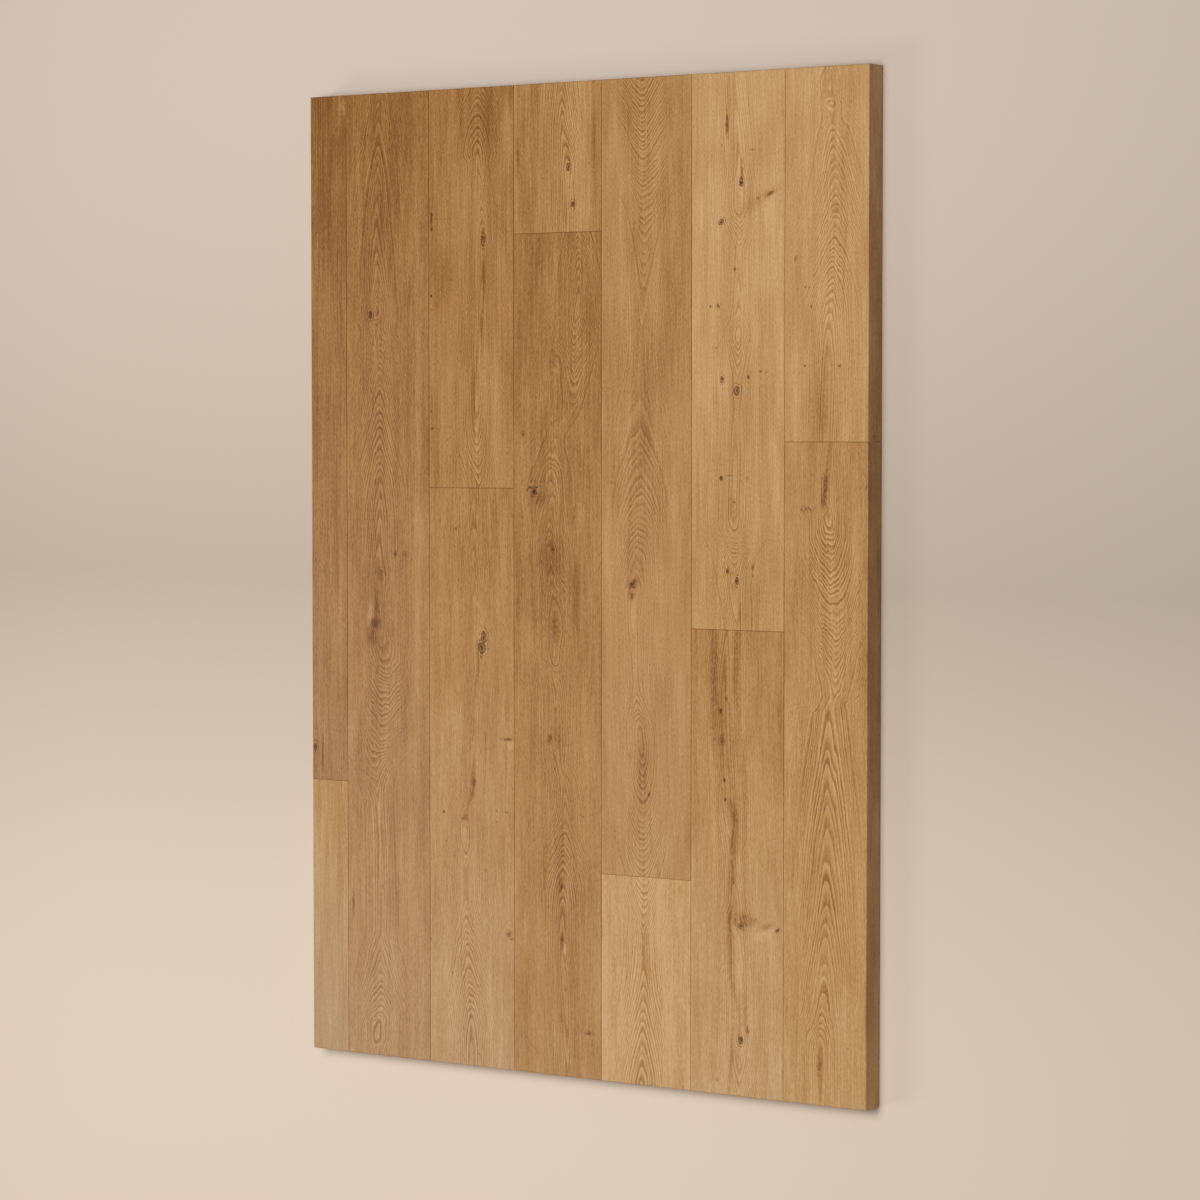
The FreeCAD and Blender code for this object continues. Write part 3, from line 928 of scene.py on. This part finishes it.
def oak_material(board, number, groups, finish):
    """Flat-sawn oak, planed, lightly brushed and oiled.

    Arched figure and knots are the first thing that the eye meets, then fine streaks along
    the board, and a satin sheen that the open pores break up.
    """
    low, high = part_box(board.node)
    middle = (low.x + high.x) / 2 / MM
    half = (high.x - low.x) / 2 / MM
    foot, head = low.y / MM, high.y / MM
    material = bpy.data.materials.new("oiled_oak_" + board.node)
    material.use_nodes = True
    tree = material.node_tree
    tree.nodes.clear()

    # Places are counted from the middle of the face, and no two boards share their noise
    coordinates = add(tree, "ShaderNodeTexCoord").node.outputs
    in_mm = add(tree, VECTOR, {0: coordinates["Object"], 3: 1 / MM}, operation="SCALE")
    face_middle = (middle, 0, FACE_HEIGHT / MM)
    place = add(tree, VECTOR, {0: in_mm, 1: face_middle}, operation="SUBTRACT")
    seed = (number * 531.0, number * 1177.0, number * 271.0)
    seeded = add(tree, VECTOR, {0: place, 1: seed}, operation="ADD")
    marked = lay_marks(tree, groups, board, middle, place, seeded)
    rings = count_rings(tree, groups, board, middle, foot, head, marked["Place"], seed)

    # End grain shows every ring, however faint it is on the face
    normal = add(tree, AXES, {0: coordinates["Normal"]}).node.outputs
    endwise = add(tree, MATH, {0: normal["Y"]}, operation="ABSOLUTE")
    end_grain = add(tree, RANGE, {"Value": endwise, 1: 0.75, 2: 0.95})
    near = add(tree, MATH, {0: rings["Near"], 1: end_grain}, operation="MAXIMUM")
    grain = add(
        tree, GROUP,
        {"Place": marked["Place"], "Rings": rings["Rings"], "Near": near, "Seed": seed},
        node_tree=groups["grain"],
    ).node.outputs

    # A knot is no even stain: its wood is burred, with paler veins
    burr = add(tree, RANGE, {"Value": grain["Speckle"], 1: 0.38, 2: 0.6, 3: 0.5, 4: 1.0})
    dark = add(tree, MATH, {0: marked["Dark"], 1: burr}, operation="MULTIPLY")
    tan = add(tree, RANGE, {"Value": grain["Speckle"], 1: 0.3, 2: 0.7, 3: 0.5, 4: 1.3})
    brown = add(tree, MATH, {0: marked["Brown"], 1: tan}, operation="MULTIPLY")

    # Depth of tone: the board's own, its drift towards the foot, then figure, fibre and pores
    axes = add(tree, AXES, {0: place}).node.outputs
    share = add(tree, RANGE, {"Value": axes["Y"], 1: foot, 2: head})
    # A painted sheen, strongest at the board's foot and gone at its head
    bloom = add(tree, RANGE, {"Value": share, 3: board.bloom, 4: 0})
    tone = add(tree, RANGE, {"Value": share, 3: board.tone + board.tone_change, 4: board.tone})
    for source, level, depth in (
        (grain["Line"], 0.0, finish.line_depth),
        (grain["Fibre"], 0.5, finish.fibre_depth),
        (grain["Streak"], 0.5, finish.streak_depth),
        (grain["Fleck"], 0.5, finish.fleck_depth),
        (grain["Pore"], 0.1, finish.pore_depth),
        (grain["Cloud"], 0.5, finish.cloud_depth),
        (brown, 0.0, TAN_DEPTH),
    ):
        centred = add(tree, MATH, {0: source, 1: level}, operation="SUBTRACT")
        tone = add(tree, MATH, {0: centred, 1: depth, 2: tone}, operation="MULTIPLY_ADD")
    tone = tone_edges(tree, finish, tone, axes["X"], seeded, half)
    tone = tone_bevels(tree, tone, normal, end_grain)
    colour = add(
        tree, GROUP, {"Tone": tone, "Bloom": bloom, "Dark": dark}, node_tree=groups["colour"],
    )

    # The pores are felt as fine dashes. The knots don't bend them here, which keeps it light.
    scaled = add(tree, VECTOR, {0: seeded, 1: PORE_SIZE}, operation="DIVIDE")
    dash = add(tree, NOISE, {"Vector": scaled, "Scale": 1, "Detail": 1})
    relief = add(tree, RANGE, {"Value": dash, 1: PORE_BEGINS, 2: PORE_OPEN, 3: 1, 4: 0}, **SMOOTH)
    bump = add(tree, "ShaderNodeBump", {"Strength": 0.35, "Distance": 0.0002, "Height": relief})
    roughness = add(tree, RANGE, {"Value": grain["Pore"], 3: 0.33, 4: 0.55})
    surface = add(
        tree, "ShaderNodeBsdfPrincipled",
        {"Base Color": colour, "Roughness": roughness, "Normal": bump, "IOR": 1.47,
         "Specular IOR Level": 0.28},
    )
    add(tree, "ShaderNodeOutputMaterial", {"Surface": surface})
    return material


class OakFinish(bpy.types.PropertyGroup):
    """The colours and depths of the oak's figure."""

    pale: FloatVectorProperty(
        name="Pale", description="The lightest latewood", subtype="COLOR",
        default=linear("#CBA679")[:3],
    )
    straw: FloatVectorProperty(
        name="Straw", description="A light board", subtype="COLOR",
        default=linear("#BA9260")[:3],
    )
    honey: FloatVectorProperty(
        name="Honey", description="A board of middle tone", subtype="COLOR",
        default=linear("#AC7F4B")[:3],
    )
    chestnut: FloatVectorProperty(
        name="Chestnut", description="A dark board", subtype="COLOR",
        default=linear("#956737")[:3],
    )
    umber: FloatVectorProperty(
        name="Umber", description="The deepest streaks and joint bevels", subtype="COLOR",
        default=linear("#774B23")[:3],
    )
    knot: FloatVectorProperty(
        name="Knot", description="The core of a knot or check", subtype="COLOR",
        default=linear("#3E2208")[:3],
    )
    # A painted sheen: the pale grey veil mixed into the boards towards their foot
    bloom: FloatVectorProperty(
        name="Bloom", description="The film that dulls boards towards the foot", subtype="COLOR",
        default=linear("#BEACA0")[:3],
    )
    line_depth: FloatProperty(
        name="Ring depth", description="How strongly growth rings show", default=0.78, min=0, max=1,
    )
    fibre_depth: FloatProperty(
        name="Fibre depth", description="How strongly hair lines show", default=0.50, min=0, max=2,
    )
    streak_depth: FloatProperty(
        name="Streak depth", description="How strongly broad bands show",
        default=0.36, min=0, max=2,
    )
    fleck_depth: FloatProperty(
        name="Fleck depth", description="How strongly ray flecks show", default=0.50, min=0, max=2,
    )
    # Edge depth sets the painted highlight along a board's left side and the oil-darkened line at
    # its right
    edge_depth: FloatProperty(
        name="Edge depth", description="How pale or dark a board's edges are",
        default=0.18, min=0, max=1,
    )
    pore_depth: FloatProperty(
        name="Pore depth", description="How dark the open pores are", default=0.25, min=0, max=1,
    )
    cloud_depth: FloatProperty(
        name="Cloud depth", description="How much the tone drifts over a board",
        default=0.52, min=0, max=1,
    )


class Studio(bpy.types.PropertyGroup):
    """The floor and the lights."""

    # The floor's colours are painted light and shade: lighter near and far, darker beside the
    # panel, and darker still to the right
    floor_near: FloatVectorProperty(
        name="Floor, near", description="The floor below the panel's foot", subtype="COLOR",
        default=linear("#ECDAC8")[:3],
    )
    floor_middle: FloatVectorProperty(
        name="Floor, middle", description="The floor beside the panel", subtype="COLOR",
        default=linear("#C6B7A7")[:3],
    )
    floor_far: FloatVectorProperty(
        name="Floor, far", description="The floor beyond the panel's head", subtype="COLOR",
        default=linear("#D9CABB")[:3],
    )
    floor_right: FloatProperty(
        name="Floor, right", description="How light the floor stays at the right",
        default=0.80, min=0, max=1,
    )
    floor_size: FloatProperty(
        name="Floor size", description="Width of the floor", subtype="DISTANCE",
        default=60, min=5,
    )
    key_power: FloatProperty(
        name="Key", description="Power of the large light overhead", subtype="POWER", default=259,
    )
    sheen_power: FloatProperty(
        name="Sheen", description="Power of the low light left of the foot", subtype="POWER",
        default=130,
    )
    sky: FloatProperty(
        name="Sky", description="Strength of the even light from all round", default=0.12, min=0,
    )


class FLOORPANEL_OT_finish_boards(bpy.types.Operator):
    """Give each board its own oiled oak"""

    bl_idname = "floorpanel.finish_boards"
    bl_label = "Finish the boards"

    def execute(self, context):
        finish = context.scene.oak_finish
        groups = {
            "mark": mark_group(),
            "rim": rim_group(),
            "sway": sway_group(),
            "figure": figure_group(),
            "grain": grain_group(),
            "colour": colour_group(finish),
        }
        missing = set(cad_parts) ^ {board.node for board in BOARDS}
        if missing:
            raise RuntimeError(f"These boards have no finish, or no solid: {sorted(missing)}")
        for number, board in enumerate(BOARDS, start=1):
            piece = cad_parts[board.node]
            piece.data.materials.clear()
            piece.data.materials.append(oak_material(board, number, groups, finish))
        return {"FINISHED"}


def add_light(name, power, place, aim, size):
    """A square soft light at a place, turned to face a point."""
    data = bpy.data.lights.new(name, "AREA")
    data.shape = "SQUARE"
    data.size = size
    data.energy = power
    light = bpy.data.objects.new(name, data)
    light.location = place
    light.rotation_euler = (Vector(aim) - Vector(place)).to_track_quat("-Z", "Y").to_euler()
    bpy.context.scene.collection.objects.link(light)


def floor_material(studio):
    """Matt studio floor with painted light and shade, lighter towards the viewer's feet and darker
    to the right.
    """
    material = bpy.data.materials.new("matt_painted_floor")
    material.use_nodes = True
    tree = material.node_tree
    tree.nodes.clear()
    place = add(tree, "ShaderNodeTexCoord").node.outputs["Object"]
    axes = add(tree, "ShaderNodeSeparateXYZ", {0: place}).node.outputs
    share = add(
        tree, RANGE, {"Value": axes["Y"], 1: -FLOOR_REACH, 2: FLOOR_REACH},
        interpolation_type="SMOOTHERSTEP",
    )
    painted = add(tree, "ShaderNodeValToRGB", {0: share})
    ramp = painted.node.color_ramp
    ramp.elements[0].color = (*studio.floor_near, 1)
    ramp.elements[1].color = (*studio.floor_far, 1)
    ramp.elements.new(0.5).color = (*studio.floor_middle, 1)
    # Painted shade, deeper towards the right
    shade = add(tree, RANGE, {
        "Value": axes["X"], 1: FLOOR_LEFT, 2: FLOOR_RIGHT,
        3: FLOOR_LEFT_SHADE, 4: studio.floor_right,
    })
    shaded = add(tree, VECTOR, {0: painted, 3: shade}, operation="SCALE")
    surface = add(
        tree, "ShaderNodeBsdfPrincipled",
        {"Base Color": shaded, "Roughness": 0.9, "Specular IOR Level": 0.2},
    )

    # Far off, where the lights don't reach, the viewer sees the floor run on as an even
    # backdrop. It isn't sampled as a light.
    material.cycles.emission_sampling = "NONE"
    distance = add(tree, VECTOR, {0: place}, operation="LENGTH").node.outputs["Value"]
    far = add(tree, RANGE, {"Value": distance, 1: BACKDROP_BEGINS, 2: BACKDROP_FULL}, **SMOOTH)
    path = add(tree, "ShaderNodeLightPath").node.outputs
    seen = path["Is Camera Ray"]
    for ray in ("Is Glossy Ray", "Is Transmission Ray"):
        seen = add(tree, MATH, {0: seen, 1: path[ray]}, operation="MAXIMUM")
    backdrop = add(tree, "ShaderNodeEmission", {"Color": shaded})
    share_seen = add(tree, MATH, {0: far, 1: seen}, operation="MULTIPLY")
    surface = add(tree, "ShaderNodeMixShader", {0: share_seen, 1: surface, 2: backdrop})
    add(tree, "ShaderNodeOutputMaterial", {"Surface": surface})
    return material


class FLOORPANEL_OT_set_studio(bpy.types.Operator):
    """Lay a plain pale floor, hang soft lights and place the camera"""

    bl_idname = "floorpanel.set_studio"
    bl_label = "Set up the studio"

    def execute(self, context):
        scene = context.scene
        studio = scene.studio

        bpy.ops.mesh.primitive_plane_add(size=studio.floor_size)
        floor = context.object
        floor.name = "studio_floor"
        floor.data.materials.append(floor_material(studio))

        add_light(
            "key_light", studio.key_power,
            place=(0.75, 0.7, 5.2), aim=(0, 0, 0), size=2.8,
        )
        add_light(
            "sheen_light", studio.sheen_power,
            place=(-6.6, -3.1, 4.7), aim=(-0.4, -0.6, 0), size=2.6,
        )

        world = bpy.data.worlds.new("studio_air")
        world.use_nodes = True
        air = world.node_tree.nodes["Background"].inputs
        air["Color"].default_value = linear("#FFF8EE")
        air["Strength"].default_value = studio.sky
        scene.world = world

        data = bpy.data.cameras.new("photo_camera")
        data.sensor_width = SENSOR_WIDTH_MM
        data.lens = SENSOR_WIDTH_MM * LENS_IN_PIXELS / PHOTO_WIDTH
        camera = bpy.data.objects.new("photo_camera", data)
        turn = Matrix((RIGHT, UP, -FORWARD)).transposed().to_4x4()
        camera.matrix_world = Matrix.Translation(CAMERA_PLACE) @ turn
        scene.collection.objects.link(camera)
        scene.camera = camera
        scene.view_settings.view_transform = "Standard"
        return {"FINISHED"}


class FLOORPANEL_PT_sidebar(bpy.types.Panel):
    """The steps and their settings"""

    bl_idname = "FLOORPANEL_PT_sidebar"
    bl_label = "Oak floor panel"
    bl_space_type = "VIEW_3D"
    bl_region_type = "UI"
    bl_category = "Floor panel"

    def draw(self, context):
        for group, operator in (
            (context.scene.oak_finish, FLOORPANEL_OT_finish_boards),
            (context.scene.studio, FLOORPANEL_OT_set_studio),
        ):
            box = self.layout.box()
            for name in group.__annotations__:
                box.prop(group, name)
            box.operator(operator.bl_idname)


CLASSES = (
    OakFinish,
    Studio,
    FLOORPANEL_OT_finish_boards,
    FLOORPANEL_OT_set_studio,
    FLOORPANEL_PT_sidebar,
)


def register():
    for item in CLASSES:
        bpy.utils.register_class(item)
    bpy.types.Scene.oak_finish = PointerProperty(type=OakFinish)
    bpy.types.Scene.studio = PointerProperty(type=Studio)


def unregister():
    del bpy.types.Scene.studio
    del bpy.types.Scene.oak_finish
    for item in reversed(CLASSES):
        bpy.utils.unregister_class(item)


def main():
    register()
    bpy.ops.floorpanel.finish_boards()
    bpy.ops.floorpanel.set_studio()


if __name__ == "__main__":
    main()
